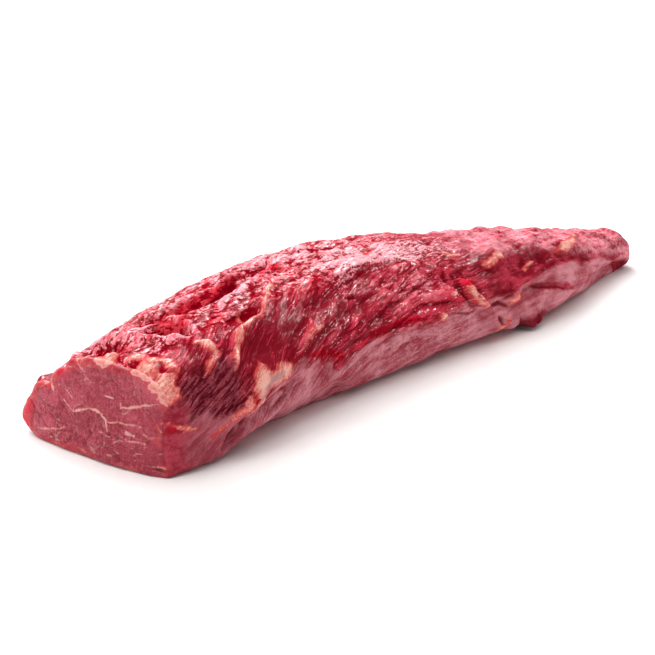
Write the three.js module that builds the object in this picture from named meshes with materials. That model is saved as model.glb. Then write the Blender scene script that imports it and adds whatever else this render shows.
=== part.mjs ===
// Raw beef tenderloin, whole and trimmed, lying on its flat underside.
// Units are millimetres and +Z is up. +X runs from the square cut end to the thin tail.
// The side with -Y is the near side, with the torn membrane, and +Y is the far side.
import * as THREE from 'three';

// Driving sizes
const CUT_X = -245;
const TAIL_X = 254;
const TAIL_CAP = 16;
const RIM_ROUND = 3;

// How the measures change along the length, as [place along x, value] pairs
const NEAR_REACH = curve([-245, 50], [-196, 53], [-147, 46], [-98, 41], [-20, 39], [70, 41.5], [110, 40],
  [196, 21], [245, 11]);
const FAR_REACH = curve([-245, 58], [-196, 66], [-125, 67.5], [-49, 63], [50, 52], [147, 37], [245, 22]);
const HEIGHT = curve([-245, 53], [-196, 63], [-147, 70], [-75, 73.5], [0, 67], [98, 54], [196, 36.5],
  [245, 28]);
const CREST = curve([-245, 4], [-196, 8], [-98, 13], [-49, 13], [49, 6], [245, 6]);

// The height of the widest point, as its own curve on each side
const NEAR_LEVEL = curve([-245, 22], [-147, 27], [-49, 26], [98, 20], [245, 12]);
const FAR_LEVEL = curve([-245, 13], [-196, 17], [-98, 26.5], [-49, 26.5], [98, 20], [245, 11]);

// How square the shoulders and the foot are: 2 is an ellipse and more is squarer
const NEAR_SHOULDER = curve([-245, 4.6], [-220, 3.7], [-196, 3], [-147, 2.5], [-80, 2.25], [245, 2.1]);
const FAR_SHOULDER = curve([-245, 1.22], [-196, 1.45], [-147, 1.78], [-98, 2.05], [-49, 2.3], [245, 2.1]);
const NEAR_FOOT = curve([-245, 9], [-196, 6], [-147, 4.6], [-49, 4.2], [49, 3.4], [147, 2.8], [245, 2.4]);
const FAR_FOOT = 3.2;

// The meat sags a little, so its underside is pressed flat
const PRESSED = 2;

// The knife went slightly askew and left a face that bulges near its foot
const CUT_SKEW = -0.117;
const CUT_BULGE = 5;
const CUT_REACH = 95;

// The mesh
const STATIONS = 96;
const CAP_STATIONS = 7;
const AROUND = 46;
const CUT_RINGS = 5;
const GIRTH_SAMPLES = 720;
const SHOWN_FROM = -0.15;
const SHOWN_TO = 0.37;
const SHOWN_SHARE = 0.66;

// A smooth curve through the pairs, with each slope taken from the two neighbours
function curve(...pairs) {
  const last = pairs.length - 1;
  const slope = (i) => {
    const a = pairs[Math.max(0, i - 1)];
    const b = pairs[Math.min(last, i + 1)];
    return (b[1] - a[1]) / (b[0] - a[0]);
  };
  return (x) => {
    const place = Math.min(Math.max(x, pairs[0][0]), pairs[last][0]);
    let i = 0;
    while (i < last - 1 && place > pairs[i + 1][0]) i += 1;
    const [x0, v0] = pairs[i];
    const [x1, v1] = pairs[i + 1];
    const span = x1 - x0;
    const t = (place - x0) / span;
    const bend0 = slope(i) * span;
    const bend1 = slope(i + 1) * span;
    const rise = v1 - v0;
    return v0 + bend0 * t + (3 * rise - 2 * bend0 - bend1) * t * t + (bend0 + bend1 - 2 * rise) * t ** 3;
  };
}

// One quarter of a rounded outline: the angle's cosine or sine, made squarer
function squarer(value, roundness) {
  return Math.sign(value) * Math.abs(value) ** (2 / roundness);
}

// One point of the outline across the length, at an angle from the far side over the top
function outlinePoint(x, angle) {
  const across = Math.cos(angle);
  const up = Math.sin(angle);
  const near = across < 0;
  const crest = CREST(x);
  const reach = near ? crest + NEAR_REACH(x) : FAR_REACH(x) - crest;
  const level = near ? NEAR_LEVEL(x) : FAR_LEVEL(x);
  const shoulder = near ? NEAR_SHOULDER(x) : FAR_SHOULDER(x);
  const foot = near ? NEAR_FOOT(x) : FAR_FOOT;
  const roundness = up >= 0 ? shoulder : foot;
  const tall = up >= 0 ? HEIGHT(x) - level : level + PRESSED;
  return [crest + reach * squarer(across, roundness), level + tall * squarer(up, roundness)];
}

// The share of the full girth that is left in the rounded tail
function tailShare(x) {
  const into = Math.max(0, (x - TAIL_X + TAIL_CAP) / TAIL_CAP);
  return Math.max(1 - into * into, 1e-4) ** 0.4;
}

// The outline at a station, with the girth distance of each of its points from the crest
function outlineAt(x) {
  const share = tailShare(x);
  const crest = CREST(x);
  const middle = 0.4 * (NEAR_LEVEL(x) + FAR_LEVEL(x));
  const points = [];
  const lengths = [0];
  for (let i = 0; i <= GIRTH_SAMPLES; i += 1) {
    const [y, z] = outlinePoint(x, Math.PI / 2 + (2 * Math.PI * i) / GIRTH_SAMPLES);
    points.push([crest + (y - crest) * share, Math.max(0, middle + (z - middle) * share)]);
    if (i > 0) {
      const [a, b] = [points[i - 1], points[i]];
      lengths.push(lengths[i - 1] + Math.hypot(b[0] - a[0], b[1] - a[1]));
    }
  }
  return { x, points, lengths, girth: lengths[GIRTH_SAMPLES] };
}

// The point of an outline at a girth distance, which counts from the crest down the near side
function pointAt(outline, girthPlace) {
  const { points, lengths, girth } = outline;
  const place = ((girthPlace % girth) + girth) % girth;
  let low = 0;
  let high = GIRTH_SAMPLES;
  while (high - low > 1) {
    const half = (low + high) >> 1;
    if (lengths[half] > place) high = half;
    else low = half;
  }
  const t = (place - lengths[low]) / Math.max(1e-9, lengths[high] - lengths[low]);
  const y = points[low][0] + t * (points[high][0] - points[low][0]);
  const z = points[low][1] + t * (points[high][1] - points[low][1]);
  return skewed(outline.x, y, z);
}

// The skew of the cut and the bulge of its foot, fading along the length
function skewed(x, y, z) {
  const fade = Math.min(1, Math.max(0, (CUT_X + CUT_REACH - x) / CUT_REACH));
  const wide = Math.max(0, 1 - ((y - 5) / 52) ** 2);
  const low = Math.max(0, 1 - z / 45);
  return new THREE.Vector3(x + CUT_SKEW * y * fade - CUT_BULGE * wide * low * fade ** 3, y, z);
}

// Relief: every form has a place [x, girth distance], both in millimetres on the skin

// A smooth hump that is 1 in the middle and 0 from distance 1 outwards
function hump(distance) {
  const near = Math.max(0, 1 - distance * distance);
  return near * near;
}

// The distance from a place to a path of straight runs
function pathDistance(x, w, path) {
  let best = Infinity;
  for (let i = 0; i < path.length - 1; i += 1) {
    const [ax, aw] = path[i];
    const [bx, bw] = path[i + 1];
    const length = (bx - ax) ** 2 + (bw - aw) ** 2;
    const t = Math.min(1, Math.max(0, ((x - ax) * (bx - ax) + (w - aw) * (bw - aw)) / length));
    best = Math.min(best, Math.hypot(x - ax - t * (bx - ax), w - aw - t * (bw - aw)));
  }
  return best;
}

// A ridge along a path, or a furrow where the height is negative
function along(height, halfWidth, ...path) {
  return (x, w) => height * hump(pathDistance(x, w, path) / halfWidth);
}

// An oval lump, or a hollow where the height is negative, turned by an angle in degrees
function oval(height, [cx, cw], halfLong, halfWide, turn = 0) {
  const c = Math.cos(THREE.MathUtils.degToRad(turn));
  const s = Math.sin(THREE.MathUtils.degToRad(turn));
  return (x, w) => {
    const u = (c * (x - cx) + s * (w - cw)) / halfLong;
    const v = (c * (w - cw) - s * (x - cx)) / halfWide;
    return height * hump(Math.hypot(u, v));
  };
}

// The top of the head end: a long furrow, its raised near lip, and a torn pocket
const headTop = [
  along(-5, 9, [-205, -3], [-190, 5], [-170, 8], [-158, 11], [-145, 5], [-118, 0]),
  along(2.2, 8, [-162, 20], [-148, 13], [-130, 8], [-108, 4]),
  along(1.8, 9, [-196, -13], [-150, -8], [-118, -10]),
  along(-7, 9, [-213, 13], [-206, 25]),
  along(-4, 8, [-238, -8], [-235, 6]),
  along(2, 8, [-228, -6], [-220, 12], [-214, 30]),
];

// The near side of the head end: fat band, smooth hollow under it, fat patch and slits
const headSide = [
  along(-4, 8, [-176, 35], [-160, 37]),
  along(2.4, 6, [-199, 58], [-184, 46], [-164, 43], [-150, 35], [-138, 25]),
  oval(-4, [-176, 57], 26, 11, 8),
  oval(3, [-176, 74], 30, 13, -14),
  along(1.8, 7, [-206, 86], [-190, 84]),
  along(-3, 6, [-208, 99], [-202, 93], [-166, 88], [-150, 83]),
  oval(-2.5, [-224, 60], 24, 14, 25),
  oval(2.6, [-238, 32], 10, 12, 0),
  oval(2.2, [-206, 43], 8, 9, 60),
];

// The middle of the near side: wet ridges, hollows, a dark furrow and the strands under it
const middleSide = [
  along(2.6, 7, [-146, 66], [-130, 58], [-108, 52]),
  oval(-2.4, [-96, 56], 30, 9, -6),
  along(2, 7, [-100, 63], [-72, 58], [-52, 50]),
  along(-4, 7, [-60, 45], [-40, 51], [-8, 47]),
  along(2.4, 7, [-66, 66], [-40, 58], [-6, 56]),
  along(-1.8, 5, [-62, 70], [-34, 63], [-4, 61]),
  along(1.8, 7, [-90, 75], [-55, 70], [-20, 67]),
  oval(-2, [-118, 82], 28, 8, -14),
  oval(2, [-60, 86], 34, 10, -8),
  along(2, 10, [-130, 38], [-95, 30], [-60, 30]),
  along(-2.2, 8, [-124, 44], [-96, 42], [-70, 37]),
];

// The tail side: a loose flap, a hole beside a bit of fat, bands and a scrap at the floor
const tailSide = [
  along(-3.4, 5, [2, 46], [3, 56], [8, 63]),
  along(4, 6, [8, 51], [14, 58], [21, 64]),
  oval(-4, [38, 67], 9, 6, 0),
  oval(3, [52, 62], 9, 5, -10),
  along(-2.2, 6, [66, 59], [88, 56], [112, 53]),
  along(-2.4, 6, [94, 43], [112, 46]),
  along(1.6, 9, [40, 72], [90, 64], [140, 53]),
  oval(6, [78, 79], 17, 8, 10),
  along(-2.4, 8, [8, 44], [60, 48], [92, 40]),
  oval(2, [135, 27], 20, 7, -18),
  along(-2, 7, [118, 37], [146, 37], [170, 34]),
];

// The top of the tail, which is knobbly where the connective tissue was pulled off
const tailTop = [
  oval(-2.6, [-76, 4], 9, 7, 20),
  along(-1.6, 6, [-66, 1], [-46, -4]),
  oval(-2.6, [8, 13], 11, 6, -25),
  oval(2.6, [82, -4], 10, 12, 0),
  oval(2.8, [110, -5], 15, 14, 0),
  oval(-2, [96, 2], 7, 12, 20),
  oval(-2.2, [140, -2], 14, 16, 10),
  oval(1.6, [166, 2], 12, 14, 0),
  oval(-1.6, [186, 6], 9, 14, 20),
  oval(1.8, [48, 34], 14, 9, -12),
  oval(1.8, [80, 40], 12, 7, -15),
  oval(-1.8, [228, 2], 8, 18, 0),
];

// The far side, where shallow furrows part the muscle bundles
const farSide = [
  along(-3, 13, [-240, -62], [-150, -52], [-40, -46], [90, -32]),
  along(2, 16, [-230, -40], [-120, -32], [10, -28]),
  along(-2.4, 10, [-200, -86], [-90, -80], [40, -62], [150, -42]),
  oval(2.5, [-130, -68], 60, 15, 4),
  oval(2, [30, -50], 50, 12, 8),
];

const RELIEF = [...headTop, ...headSide, ...middleSide, ...tailSide, ...tailTop, ...farSide];

// The height of the relief at a place, faded out towards the very tip
function relief(x, w) {
  const fade = Math.min(1, Math.max(0, (TAIL_X - x) / TAIL_CAP));
  return fade * RELIEF.reduce((sum, form) => sum + form(x, w), 0);
}

// Places along the length: even ones, then ones that crowd towards the tip
function stationPlaces() {
  const places = [];
  const straight = TAIL_X - TAIL_CAP - CUT_X;
  for (let i = 0; i < STATIONS; i += 1) {
    places.push(CUT_X + (straight * i) / (STATIONS - 1));
  }
  for (let i = 1; i < CAP_STATIONS; i += 1) {
    places.push(TAIL_X - TAIL_CAP + TAIL_CAP * Math.sin((Math.PI * i) / (2 * CAP_STATIONS)));
  }
  return places;
}

// Shares of the girth, closer together over the top and the near side than elsewhere
function girthShares() {
  const shown = Math.round(AROUND * SHOWN_SHARE);
  const rest = AROUND - shown;
  const shares = [];
  for (let i = 0; i < shown; i += 1) {
    shares.push(SHOWN_FROM + ((SHOWN_TO - SHOWN_FROM) * i) / shown);
  }
  for (let i = 0; i < rest; i += 1) {
    shares.push(SHOWN_TO + ((1 + SHOWN_FROM - SHOWN_TO) * i) / rest);
  }
  return shares;
}

// The skin as rows of points, one row a station, before and after the relief
function skinRows() {
  const shares = girthShares();
  const outlines = stationPlaces().map(outlineAt);
  const base = outlines.map((outline) => shares.map((share) => pointAt(outline, share * outline.girth)));
  return base.map((row, i) => row.map((point, j) => {
    const { x, girth } = outlines[i];
    const share = shares[j] > 0.5 ? shares[j] - 1 : shares[j];
    const normal = skinNormal(base, i, j);
    const moved = point.clone().addScaledVector(normal, relief(x, share * girth));
    moved.z = Math.max(0, moved.z);
    return moved;
  }));
}

// The outward direction of the skin, from the neighbours along and around
function skinNormal(rows, i, j) {
  const before = rows[Math.max(0, i - 1)][j];
  const after = rows[Math.min(rows.length - 1, i + 1)][j];
  const left = rows[i][(j + AROUND - 1) % AROUND];
  const right = rows[i][(j + 1) % AROUND];
  const lengthwise = after.clone().sub(before);
  const around = right.clone().sub(left);
  return around.cross(lengthwise).normalize();
}

// The rows of the cut face, from its rounded rim to its middle
function cutRows(rim) {
  const middle = skewed(CUT_X, 6, 22);
  middle.x -= RIM_ROUND;
  const rows = [];
  for (let ring = 1; ring < CUT_RINGS; ring += 1) {
    const inward = 0.06 + (0.94 * (ring - 1)) / (CUT_RINGS - 1);
    const swell = RIM_ROUND * Math.sin((Math.PI / 2) * Math.sqrt(inward));
    rows.push(rim.map((point) => {
      const y = point.y + (middle.y - point.y) * inward;
      const z = point.z + (middle.z - point.z) * inward;
      const placed = skewed(CUT_X, y, z);
      placed.x -= swell;
      return placed;
    }));
  }
  return { rows, middle };
}

// Joins two closed rows of points with triangles
function stitch(faces, rowA, rowB) {
  for (let j = 0; j < AROUND; j += 1) {
    const next = (j + 1) % AROUND;
    faces.push(rowA + j, rowB + next, rowB + j);
    faces.push(rowA + j, rowA + next, rowB + next);
  }
}

// The whole closed skin as one geometry, from the middle of the cut to the tip of the tail
function tenderloinGeometry() {
  const skin = skinRows();
  const cut = cutRows(skin[0]);
  const rows = [...cut.rows.reverse(), ...skin];
  const points = [cut.middle, ...rows.flat()];
  const tip = skewed(TAIL_X, CREST(TAIL_X), 0.4 * (NEAR_LEVEL(TAIL_X) + FAR_LEVEL(TAIL_X)));
  points.push(tip);
  const faces = [];
  const start = (row) => 1 + row * AROUND;
  for (let j = 0; j < AROUND; j += 1) {
    const next = (j + 1) % AROUND;
    const end = start(rows.length - 1);
    faces.push(0, start(0) + next, start(0) + j);
    faces.push(end + j, end + next, points.length - 1);
  }
  for (let row = 0; row < rows.length - 1; row += 1) stitch(faces, start(row), start(row + 1));
  const geometry = new THREE.BufferGeometry().setFromPoints(points);
  geometry.setIndex(faces);
  return geometry;
}

// Puts the middle of the footprint at the origin and the underside on the floor
function centred(geometry) {
  geometry.computeBoundingBox();
  const middle = geometry.boundingBox.getCenter(new THREE.Vector3());
  geometry.translate(-middle.x, -middle.y, -geometry.boundingBox.min.z);
  geometry.computeVertexNormals();
  return geometry;
}

const meat = new THREE.MeshStandardMaterial({ color: '#9c2f3c', roughness: 0.45, metalness: 0 });
const tenderloin = new THREE.Mesh(centred(tenderloinGeometry()), meat);
tenderloin.name = 'tenderloin';

const part = new THREE.Group();
part.name = 'beef_tenderloin';
part.add(tenderloin);

export default part;
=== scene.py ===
# %% [markdown]
# # A raw beef tenderloin, from cut end to tail
#
# A tenderloin is one long muscle. At the thick end the knife has left a flat face
# with pale seams of fat, and from there it tapers to a thin rounded tail. Its skin
# is never the same for long: torn wet fibres, a lilac membrane, lumps of fat.
# So this lesson makes one skin as a grid of numbers, raises and sinks it with
# small formulas, and writes on each point how much fat, membrane or juice is there.
#
# The solid model comes first. It fixes the size and the place of everything here.

# %% Load the solid model
from types import SimpleNamespace

import bpy
import numpy as np
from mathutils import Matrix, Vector


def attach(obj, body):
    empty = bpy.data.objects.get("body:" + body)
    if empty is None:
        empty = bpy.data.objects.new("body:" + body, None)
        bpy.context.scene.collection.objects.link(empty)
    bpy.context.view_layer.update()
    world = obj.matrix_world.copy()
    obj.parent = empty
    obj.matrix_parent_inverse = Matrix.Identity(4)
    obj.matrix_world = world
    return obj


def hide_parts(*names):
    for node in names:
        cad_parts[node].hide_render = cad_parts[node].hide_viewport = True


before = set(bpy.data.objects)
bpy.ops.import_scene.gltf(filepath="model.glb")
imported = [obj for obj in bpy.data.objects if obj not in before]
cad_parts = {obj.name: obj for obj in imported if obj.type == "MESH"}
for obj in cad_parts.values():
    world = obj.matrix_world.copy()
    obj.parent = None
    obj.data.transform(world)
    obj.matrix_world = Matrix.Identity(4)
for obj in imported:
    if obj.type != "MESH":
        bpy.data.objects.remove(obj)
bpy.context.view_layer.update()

# %% [markdown]
# ## The measures of the muscle
#
# A butcher would describe the piece by a few measures along its length: how far it
# reaches to each side, how high it is and how square its shoulders are. Each measure
# is a smooth curve through a handful of pairs, in millimetres, with +X towards the
# tail. A girth place is a distance round the skin, from the crest down the near side.

# %% Curves through a few pairs
CUT_X, TAIL_X, TAIL_CAP = -245.0, 254.0, 16.0  # both ends, and the length of the rounded tip
SIDE_SHIFT = -6.65  # from the lesson's own middle line to that of the solid
PRESSED = 2.0  # how far an outline dips below the floor before it is clamped
MM = 0.001


def curve(*pairs):
    """A smooth curve through (place, value) pairs.

    Between two pairs it is a cubic whose slope at each pair is that of the line
    through the two neighbours."""
    places, values = np.array(pairs, float).T
    before = np.maximum(np.arange(len(places)) - 1, 0)
    after = np.minimum(np.arange(len(places)) + 1, len(places) - 1)
    slopes = (values[after] - values[before]) / (places[after] - places[before])

    def at(x):
        x = np.clip(x, places[0], places[-1])
        i = np.clip(np.searchsorted(places, x, side="right") - 1, 0, len(places) - 2)
        span = places[i + 1] - places[i]
        t = (x - places[i]) / span
        rise = values[i + 1] - values[i]
        bend0, bend1 = slopes[i] * span, slopes[i + 1] * span
        cubic = (bend0 + bend1 - 2 * rise) * t**3
        return values[i] + bend0 * t + (3 * rise - 2 * bend0 - bend1) * t**2 + cubic

    return at


NEAR_REACH = curve((-245, 50), (-196, 53), (-147, 46), (-98, 41), (-20, 39), (70, 41.5), (110, 40),
                   (196, 21), (245, 11))
FAR_REACH = curve((-245, 58), (-196, 66), (-125, 67.5), (-49, 63), (50, 52), (147, 37), (245, 22))
HEIGHT = curve((-245, 53), (-196, 63), (-147, 70), (-75, 73.5), (0, 67), (98, 54), (196, 36.5), (245, 28))
CREST = curve((-245, 4), (-196, 8), (-98, 13), (-49, 13), (49, 6), (245, 6))
NEAR_LEVEL = curve((-245, 22), (-147, 27), (-49, 26), (98, 20), (245, 12))
FAR_LEVEL = curve((-245, 13), (-196, 17), (-98, 26.5), (-49, 26.5), (98, 20), (245, 11))
NEAR_SHOULDER = curve((-245, 4.6), (-220, 3.7), (-196, 3), (-147, 2.5), (-80, 2.25), (245, 2.1))
FAR_SHOULDER = curve((-245, 1.22), (-196, 1.45), (-147, 1.78), (-98, 2.05), (-49, 2.3), (245, 2.1))
NEAR_FOOT = curve((-245, 9), (-196, 6), (-147, 4.6), (-49, 4.2), (49, 3.4), (147, 2.8), (245, 2.4))
FAR_FOOT = 3.2
CUT_SKEW, CUT_REACH, RIM_ROUND = -0.117, 95.0, 3.0  # the cut's slant, where it fades out, the rim
CUT_BULGE, BULGE_MIDDLE, BULGE_HALF, BULGE_TOP = 5.0, 5.0, 52.0, 45.0  # the foot of the cut
TAIL_BLUNT, TIP_LEVEL = 0.4, 0.4
heights = [round(float(HEIGHT(x)), 1) for x in (-245, -75, 245)]
print("mm high at the cut, the thickest place and the tail:", heights)

# %% [markdown]
# ## The plain skin
#
# Each cut across the muscle is a rounded outline, like a soft rectangle. Points are
# spread along it by distance, not by angle, so that the grid's cells stay even. More
# of them go over the top and the near side, where the skin is torn and wrinkled.
# The underside is clamped at the floor, as the meat's own weight presses it flat.

# %% Outlines, and a grid of points on them
STATIONS, CAP_STATIONS, CORNER_STATIONS, AROUND = 318, 12, 18, 264
CORNER_LENGTH, CORNER_DEPTH = 12.0, 7.0
SHOWN_FROM, SHOWN_TO, SHOWN_SHARE = -0.17, 0.37, 0.74
SAMPLES = 900


def squarer(value, roundness):
    """A cosine or a sine, raised to 2 / roundness and with its sign kept."""
    return np.sign(value) * np.abs(value) ** (2 / roundness)


def outlines(x):
    """Points round the muscle at each place in x, from the crest down the near side.

    A quarter is level + tall * squarer(sine) over crest + reach * squarer(cosine),
    and in the tail it all shrinks to a point, a little blunter than half a ball."""
    x = x[:, None]
    angle = np.pi / 2 + np.linspace(0, 2 * np.pi, SAMPLES + 1)[None, :]
    across, up = np.cos(angle), np.sin(angle)
    near, top = across < 0, up >= 0
    crest = CREST(x)
    reach = np.where(near, crest + NEAR_REACH(x), FAR_REACH(x) - crest)
    level = np.where(near, NEAR_LEVEL(x), FAR_LEVEL(x))
    shoulder = np.where(near, NEAR_SHOULDER(x), FAR_SHOULDER(x))
    roundness = np.where(top, shoulder, np.where(near, NEAR_FOOT(x), FAR_FOOT))
    tall = np.where(top, HEIGHT(x) - level, level + PRESSED)
    into = np.clip((x - TAIL_X + TAIL_CAP) / TAIL_CAP, 0, 1)
    share = np.maximum(1 - into**2, 1e-4) ** TAIL_BLUNT
    middle = TIP_LEVEL * (NEAR_LEVEL(x) + FAR_LEVEL(x))
    y = crest + reach * squarer(across, roundness) * share
    z = level + tall * squarer(up, roundness)
    return y, np.maximum(middle + (z - middle) * share, 0)


def skewed(x, y, z):
    """x moved by the slanting cut and by the bulge of its foot, both fading out."""
    fade = np.clip((CUT_X + CUT_REACH - x) / CUT_REACH, 0, 1)
    wide = np.clip(1 - ((y - BULGE_MIDDLE) / BULGE_HALF) ** 2, 0, 1)
    low = np.clip(1 - z / BULGE_TOP, 0, 1)
    return x + CUT_SKEW * y * fade - CUT_BULGE * wide * low * fade**3


def station_places():
    """Places along the muscle: close together at the cut, even, then close at the tip."""
    turn = np.pi / 2 * np.arange(CORNER_STATIONS) / CORNER_STATIONS
    corner = CUT_X + CORNER_LENGTH * (1 - np.cos(turn))
    even = np.linspace(CUT_X + CORNER_LENGTH, TAIL_X - TAIL_CAP, STATIONS)
    turn = np.pi / 2 * np.arange(1, CAP_STATIONS) / CAP_STATIONS
    return np.concatenate([corner, even, TAIL_X - TAIL_CAP + TAIL_CAP * np.sin(turn)])


def girth_shares():
    """Shares of the girth: close together where the skin shows, wider apart below."""
    shown = round(AROUND * SHOWN_SHARE)
    seen = np.linspace(SHOWN_FROM, SHOWN_TO, shown, endpoint=False)
    rest = np.linspace(SHOWN_TO, 1 + SHOWN_FROM, AROUND - shown, endpoint=False)
    return np.concatenate([seen, rest])


def plain_skin():
    """The grid's points, and each one's place along the muscle and round its girth."""
    places, shares = station_places(), girth_shares()
    y_all, z_all = outlines(places)
    steps = np.hypot(np.diff(y_all, axis=1), np.diff(z_all, axis=1))
    lengths = np.concatenate([np.zeros((len(places), 1)), np.cumsum(steps, axis=1)], axis=1)
    girth = lengths[:, -1]
    wanted = (shares % 1)[None, :] * girth[:, None]
    y = np.array([np.interp(w, s, v) for w, s, v in zip(wanted, lengths, y_all)])
    z = np.array([np.interp(w, s, v) for w, s, v in zip(wanted, lengths, z_all)])
    x = np.repeat(places[:, None], len(shares), axis=1)
    signed = np.where(shares > 0.5, shares - 1, shares)[None, :] * girth[:, None]
    return np.stack([skewed(x, y, z), y, z], axis=-1), x, signed


skin, X, W = plain_skin()
print("skin grid:", skin.shape[:2], "girth at the thickest, mm:", round(float(np.ptp(W, axis=1).max())))

# %% [markdown]
# ## Noise that runs with the fibres
#
# Muscle has a grain, and so its wrinkles are long and narrow. Noise in plain X, Y, Z
# would look like sand. The fibres drift round the girth as they run to the tail, so
# the drift is subtracted from the girth place first: what is left is the same all
# along one fibre, and noise on it can be stretched along the grain.

# %% Seeded noise, and the two grain coordinates
def noise(u, v, seed):
    """Random heights from -1 to 1 on whole numbers, blended smoothly in between."""
    table = np.random.default_rng(seed).uniform(-1, 1, (256, 256))
    i, j = np.floor(u).astype(int), np.floor(v).astype(int)
    fu, fv = u - i, v - j
    fu, fv = fu * fu * (3 - 2 * fu), fv * fv * (3 - 2 * fv)
    i, j, i1, j1 = i % 256, j % 256, (i + 1) % 256, (j + 1) % 256
    low = table[i, j] * (1 - fv) + table[i, j1] * fv
    high = table[i1, j] * (1 - fv) + table[i1, j1] * fv
    return low * (1 - fu) + high * fu


def layered(u, v, seed, layers=3):
    """Noise plus finer noise at half the height, and so on.

    u and v are places divided by the size of the lumps, and the seed picks the pattern."""
    total = sum(0.5**k * noise(u * 2**k + 7 * k, v * 2**k + 3 * k, seed + k) for k in range(layers))
    return total / sum(0.5**k for k in range(layers))


def smooth_step(value, start, end):
    """0 before start, 1 after end and a smooth rise in between."""
    t = np.clip((value - start) / (end - start), 0, 1)
    return t * t * (3 - 2 * t)


MEMBRANE_EDGE = curve((-245, 66), (-222, 76), (-205, 84), (-188, 84), (-170, 78), (-150, 74),
                      (-128, 78), (-108, 86), (-92, 80), (-60, 76), (-20, 69), (25, 63), (48, 61),
                      (60, 58), (77, 53), (94, 51), (117, 46), (150, 39), (178, 32), (204, 33), (220, 42),
                      (245, 70))
FIBRE_SLOPE = curve((-245, -0.12), (-215, -0.42), (-180, -0.62), (-150, -0.55), (-110, -0.45), (-60, -0.3),
                    (0, -0.22), (245, -0.17))
RULER_STEPS = 400


def drift(x):
    """How far a fibre has wandered round the girth: the slope, added up along x."""
    ruler = np.linspace(CUT_X, TAIL_X, RULER_STEPS)
    total = np.cumsum(FIBRE_SLOPE(ruler)) * (ruler[1] - ruler[0])
    return np.interp(x, ruler, total)


ALONG = X + 0.35 * W + 3 * layered(X / 30, W / 20, 13)
ACROSS = W - drift(X) + 2.4 * layered(X / 28, W / 20, 11, 3)
print("grain coordinates: along", [round(float(v)) for v in (ALONG.min(), ALONG.max())])


# %% Ridges, furrows and ovals on the skin
def hump(distance):
    """1 in the middle and 0 from distance 1 outwards: (1 - distance squared) squared."""
    return np.clip(1 - distance**2, 0, 1) ** 2


def nearest_on(path, x, w):
    """The distance to a path of straight runs, in mm, and how far along it, from 0 to 1."""
    runs = [np.hypot(bx - ax, bw - aw) for (ax, aw), (bx, bw) in zip(path[:-1], path[1:])]
    best, share, done = np.full(x.shape, 1e9), np.zeros(x.shape), 0.0
    for (ax, aw), (bx, bw), run in zip(path[:-1], path[1:], runs):
        t = np.clip(((x - ax) * (bx - ax) + (w - aw) * (bw - aw)) / run**2, 0, 1)
        distance = np.hypot(x - ax - t * (bx - ax), w - aw - t * (bw - aw))
        share = np.where(distance < best, (done + t * run) / sum(runs), share)
        best = np.minimum(best, distance)
        done += run
    return best, share


def along(height, half_width, *path):
    """A ridge along a path, or a furrow where the height is negative."""
    return height * hump(nearest_on(path, X, W)[0] / half_width)


def oval(height, centre, half_long, half_wide, turn=0):
    """An oval lump, or a hollow where the height is negative, turned in degrees."""
    c, s = np.cos(np.radians(turn)), np.sin(np.radians(turn))
    u = (c * (X - centre[0]) + s * (W - centre[1])) / half_long
    v = (c * (W - centre[1]) - s * (X - centre[0])) / half_wide
    return height * hump(np.hypot(u, v))


def mound(height, centre, half_long, half_wide):
    """A lump with squarish sides: a hump along the meat times a hump round it."""
    return height * hump((X - centre[0]) / half_long) * hump((W - centre[1]) / half_wide)


# %% [markdown]
# ## The large forms
#
# These are the forms that the solid model has too: the long furrow on the head, the
# torn pocket, the fat band, the strands of the middle, the loose flap and the knobs
# of the tail. Each was placed from the photograph and is one row of a table,
# so a form can be moved or made deeper by itself. A ridge or furrow is written
# (height, half width, place, place, ...), and an oval lump or hollow is written
# (height, place, half length, half width, turn). A place is (along, girth place).

# %% The forms that the solid shares
HEAD_TOP = (
    (-5, 9, (-205, -3), (-190, 5), (-170, 8), (-158, 11), (-145, 5), (-118, 0)),
    (2.2, 8, (-162, 20), (-148, 13), (-130, 8), (-108, 4)),
    (1.8, 9, (-196, -13), (-150, -8), (-118, -10)),
    (-7, 9, (-213, 13), (-206, 25)),
    (-4, 8, (-238, -8), (-235, 6)),
    (2, 8, (-228, -6), (-220, 12), (-214, 30)))
HEAD_SIDE = (
    (-4, 8, (-176, 35), (-160, 37)),
    (2.4, 6, (-199, 58), (-184, 46), (-164, 43), (-150, 35), (-138, 25)),
    (-4, (-176, 57), 26, 11, 8),
    (3, (-176, 74), 30, 13, -14),
    (1.8, 7, (-206, 86), (-190, 84)),
    (-3, 6, (-208, 99), (-202, 93), (-166, 88), (-150, 83)),
    (-2.5, (-224, 60), 24, 14, 25),
    (2.6, (-238, 32), 10, 12),
    (2.2, (-206, 43), 8, 9, 60))
MIDDLE_SIDE = (
    (2.6, 7, (-146, 66), (-130, 58), (-108, 52)),
    (-2.4, (-96, 56), 30, 9, -6),
    (2, 7, (-100, 63), (-72, 58), (-52, 50)),
    (-4, 7, (-60, 45), (-40, 51), (-8, 47)),
    (2.4, 7, (-66, 66), (-40, 58), (-6, 56)),
    (-1.8, 5, (-62, 70), (-34, 63), (-4, 61)),
    (1.8, 7, (-90, 75), (-55, 70), (-20, 67)),
    (-2, (-118, 82), 28, 8, -14),
    (2, (-60, 86), 34, 10, -8),
    (2, 10, (-130, 38), (-95, 30), (-60, 30)),
    (-2.2, 8, (-124, 44), (-96, 42), (-70, 37)))
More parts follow.
